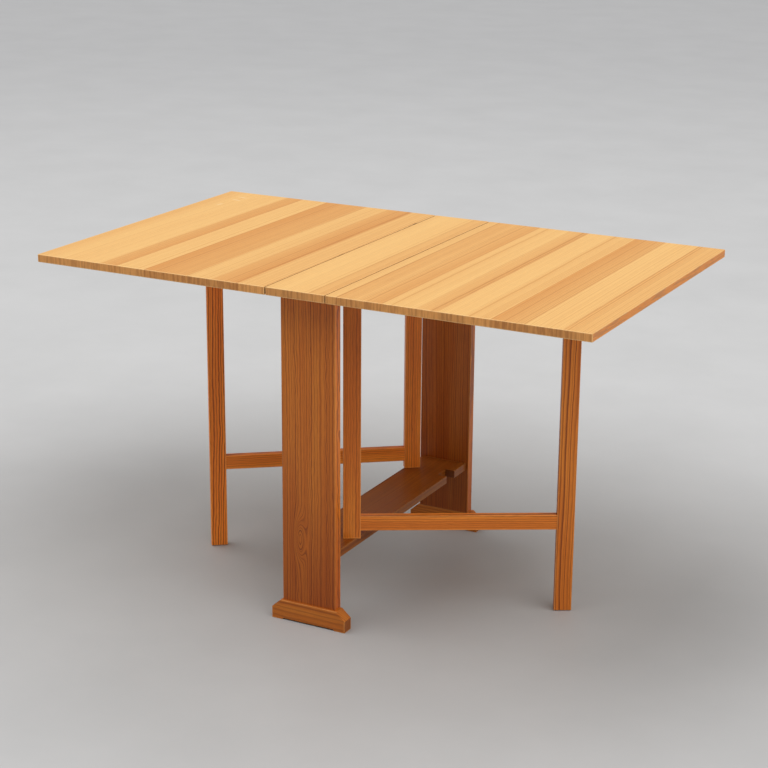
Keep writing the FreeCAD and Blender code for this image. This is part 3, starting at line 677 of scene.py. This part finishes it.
metals = {
    "hinge": {"colour": (0.46, 0.44, 0.40, 1), "dark": (0.25, 0.22, 0.18, 1), "roughness": 0.34},
    "steel": {"colour": (0.60, 0.59, 0.57, 1), "dark": (0.36, 0.34, 0.31, 1), "roughness": 0.26},
}
rolling = {
    "tarnishScale": 90.0,
    "tarnishFrom": 0.42, "tarnishFull": 0.66,
    "tarnishDark": 0.6, "tarnishDull": 0.22,    # how much it darkens and roughens
    "streakScale": 2600.0, "streakAlong": 0.04,
    "streakDull": 0.1,
    "smoothest": 0.05,                          # roughness taken off where there is neither
    "bumpStrength": 0.2,
    "bumpDepth": 0.05 * millimetre,
}
dowelWood = {
    "colour": (0.72, 0.50, 0.28, 1),
    "dark": (0.50, 0.30, 0.14, 1),
    "streakScale": 420.0,
    "roughness": 0.6,
    "bumpStrength": 0.2,
    "bumpDepth": 0.1 * millimetre,
}


def metalMaterial(name, look):
    # rolled metal: streaks along Y, and a patchy tarnish that is darker and duller
    material, tree, surface = startMaterial(name)
    where = tree.nodes.new("ShaderNodeTexCoord").outputs["Object"]
    patches = noise(tree, where, rolling["tarnishScale"], detail=4.0, roughness=0.65)
    tarnish = ease(tree, patches, rolling["tarnishFrom"], rolling["tarnishFull"])
    rolled = vectorCalc(tree, "MULTIPLY", where, (1.0, rolling["streakAlong"], 1.0))
    streaks = noise(tree, rolled, rolling["streakScale"], detail=2.0, roughness=0.5)
    colour = mixColour(tree, "MIX", share(tree, tarnish, rolling["tarnishDark"]), look["colour"],
                       look["dark"])
    feed(tree, surface.inputs["Base Color"], colour)
    surface.inputs["Metallic"].default_value = 1.0
    rough = calc(tree, "MULTIPLY_ADD", tarnish, rolling["tarnishDull"],
                 look["roughness"] - rolling["smoothest"])
    rough = calc(tree, "MULTIPLY_ADD", streaks, rolling["streakDull"], rough)
    feed(tree, surface.inputs["Roughness"], rough)
    bumpFrom(tree, surface, streaks, rolling["bumpStrength"], rolling["bumpDepth"])
    return material


def dowelMaterial():
    # bare turned wood with fine even streaks
    material, tree, surface = startMaterial("dowelWood")
    where = tree.nodes.new("ShaderNodeTexCoord").outputs["Object"]
    streaks = noise(tree, where, dowelWood["streakScale"])
    colour = mixColour(tree, "MIX", streaks, dowelWood["colour"], dowelWood["dark"])
    feed(tree, surface.inputs["Base Color"], colour)
    surface.inputs["Roughness"].default_value = dowelWood["roughness"]
    bumpFrom(tree, surface, streaks, dowelWood["bumpStrength"], dowelWood["bumpDepth"])
    return material


hingeMetal = metalMaterial("hingeMetal", metals["hinge"])
steel = metalMaterial("steel", metals["steel"])
dowels = dowelMaterial()
for name in frame["nodes"]:
    if "dowel" in name:
        dress(name, dowels)
    elif "hinge_plates" in name:
        dress(name, hingeMetal)
    elif "screw" in name or "pivots" in name or "hinge_pins" in name:
        dress(name, steel)
print("dowels, screws and hinges done")


# The floor, which stands for the studio: mid grey near the table, darkened there as a painted
# shadow under it, paler further off, and about as grey as the sky where it ends.

studio = {
    "floorSize": 60.0,
    "steps": 9,                             # grid points along each side
    "drop": 0.4 * millimetre,
    # darker near the table: a painted shadow under it
    "near": (0.395, 0.393, 0.390, 1),
    "far": (0.57, 0.57, 0.57, 1),
    "back": (0.44, 0.44, 0.445, 1),
    "horizon": (0.20, 0.20, 0.20, 1),       # about as grey as the sky, once it is lit
    "nearRadius": 0.5,
    "farRadius": 1.6,
    "backRadius": 10.0,
    "horizonRadius": 28.0,
    "cloudScale": 3.0,
    "cloudFloor": 0.92,                     # the darkest cloud
    "cloudSwing": 0.16,                     # how far the shade climbs
    "roughness": 0.55,
}


def makeFloor():
    # a flat grid: x and y spread evenly over the floor's size, z a hair below the feet
    count = studio["steps"]
    steps = np.linspace(-0.5, 0.5, count) * studio["floorSize"]
    x, y = np.meshgrid(steps, steps)
    points = np.stack([x, y, np.full_like(x, -studio["drop"])], axis=-1).reshape(-1, 3)
    corner = (np.arange(count - 1)[:, None] * count + np.arange(count - 1)).ravel()
    faces = np.stack([corner, corner + 1, corner + count + 1, corner + count], axis=1)
    mesh = bpy.data.meshes.new("floor")
    mesh.from_pydata(points.tolist(), [], faces.tolist())
    floor = bpy.data.objects.new("floor", mesh)
    bpy.context.scene.collection.objects.link(floor)
    return floor


def floorMaterial():
    # rings of even grey that fade into each other outwards, under faint clouds
    material, tree, surface = startMaterial("floorFinish")
    where = tree.nodes.new("ShaderNodeTexCoord").outputs["Object"]
    away = vectorCalc(tree, "LENGTH", where)
    clouds = noise(tree, where, studio["cloudScale"], detail=6.0)
    colour = studio["near"]
    for inner, outer in (("near", "far"), ("far", "back"), ("back", "horizon")):
        reached = ease(tree, away, studio[inner + "Radius"], studio[outer + "Radius"])
        colour = mixColour(tree, "MIX", reached, colour, studio[outer])
    shade = calc(tree, "MULTIPLY_ADD", clouds, studio["cloudSwing"], studio["cloudFloor"])
    colour = mixColour(tree, "MULTIPLY", 1.0, colour, grey(tree, shade))
    feed(tree, surface.inputs["Base Color"], colour)
    surface.inputs["Roughness"].default_value = studio["roughness"]
    return material


makeFloor().data.materials.append(floorMaterial())
print("floor done")


# light and camera: a very soft lamp high on each side, and an even grey sky

lamps = {
    "left": {"from": (-0.60, -0.20, 1.0), "strength": 1.75, "spread": 62.0},
    "right": {"from": (0.80, -0.30, 1.0), "strength": 1.85, "spread": 60.0},
}
sky = {"colour": (1.0, 1.0, 1.0, 1), "strength": 0.25}
view = {
    "place": (1.7965, -3.4148, 1.6386),
    "heading": -27.751,     # degrees from +Y towards +X
    "dip": 17.39,           # degrees below level
    "roll": 0.425,          # degrees about the view
    "lens": 88.66,          # millimetres, on a sensor this wide
    "sensor": 36.0,
}


def addLamp(name, look):
    # a far lamp that shines from one direction, softened over its spread in degrees
    lamp = bpy.data.lights.new(name, "SUN")
    lamp.energy = look["strength"]
    lamp.angle = math.radians(look["spread"])
    holder = bpy.data.objects.new(name, lamp)
    holder.matrix_world = Vector(look["from"]).to_track_quat("Z", "Y").to_matrix().to_4x4()
    bpy.context.scene.collection.objects.link(holder)


def addCamera():
    # a unit vector ahead, from the heading and the dip, then the roll about it
    heading, dip = math.radians(view["heading"]), math.radians(view["dip"])
    level = math.cos(dip)
    ahead = Vector((math.sin(heading) * level, math.cos(heading) * level, -math.sin(dip)))
    lens = bpy.data.cameras.new("camera")
    lens.lens = view["lens"]
    lens.sensor_width = view["sensor"]
    camera = bpy.data.objects.new("camera", lens)
    turned = ahead.to_track_quat("-Z", "Y").to_matrix().to_4x4()
    spin = Matrix.Rotation(math.radians(view["roll"]), 4, "Z")
    camera.matrix_world = Matrix.Translation(view["place"]) @ turned @ spin
    bpy.context.scene.collection.objects.link(camera)
    bpy.context.scene.camera = camera


for name, look in lamps.items():
    addLamp(name, look)
world = bpy.data.worlds.new("sky")
bpy.context.scene.world = world
world.use_nodes = True
background = world.node_tree.nodes["Background"]
background.inputs["Color"].default_value = sky["colour"]
background.inputs["Strength"].default_value = sky["strength"]
addCamera()
bpy.context.scene.view_settings.view_transform = "Standard"
print("light and camera done")
